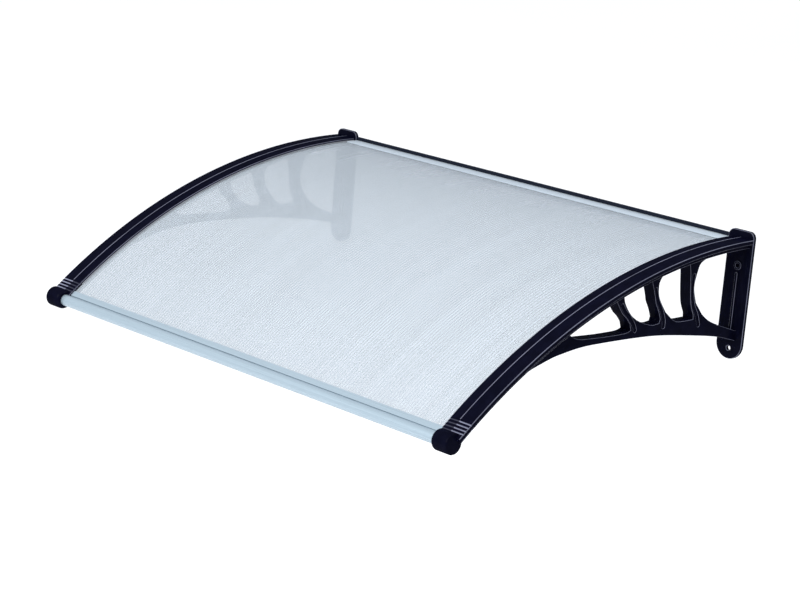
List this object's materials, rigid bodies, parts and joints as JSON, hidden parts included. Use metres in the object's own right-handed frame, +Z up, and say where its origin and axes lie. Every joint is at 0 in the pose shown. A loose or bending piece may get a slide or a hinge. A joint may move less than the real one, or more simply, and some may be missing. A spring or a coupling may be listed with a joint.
{
  "type": "door canopy",
  "caption": "Door canopy: a curved twin-wall polycarbonate sheet held by black moulded wall brackets with open struts and by metal edge bars.",
  "frame": {"origin": "on the wall plane, at the middle of the rear bar's back face", "axes": "+X along the wall towards the right bracket seen from the front, +Y into the wall, +Z up"},
  "size_m": [1.004, 0.6795, 0.2794],
  "materials": {
    "black_plastic": "satin navy black moulded plastic",
    "clear_sheet": "clear twin-wall polycarbonate, fine ribs",
    "satin_aluminium": "satin extruded",
    "grey_rubber": "soft matt",
    "black_rubber": "soft matt",
    "zinc_steel": "zinc plated"
  },
  "bodies": {
    "root": {"bracket_left": "black_plastic", "cover_strip_left": "black_plastic", "front_cap_left": "black_plastic", "strip_seal_left": "grey_rubber", "strip_screw_left_1": "zinc_steel", "strip_screw_left_2": "zinc_steel", "strip_screw_left_3": "zinc_steel", "strip_screw_left_4": "zinc_steel", "bracket_right": "black_plastic", "cover_strip_right": "black_plastic", "front_cap_right": "black_plastic", "strip_seal_right": "grey_rubber", "strip_screw_right_1": "zinc_steel", "strip_screw_right_2": "zinc_steel", "strip_screw_right_3": "zinc_steel", "strip_screw_right_4": "zinc_steel", "sheet": "clear_sheet", "front_bar": "satin_aluminium", "rear_bar": "satin_aluminium", "wall_seal": "black_rubber"}
  },
  "joints": []
}
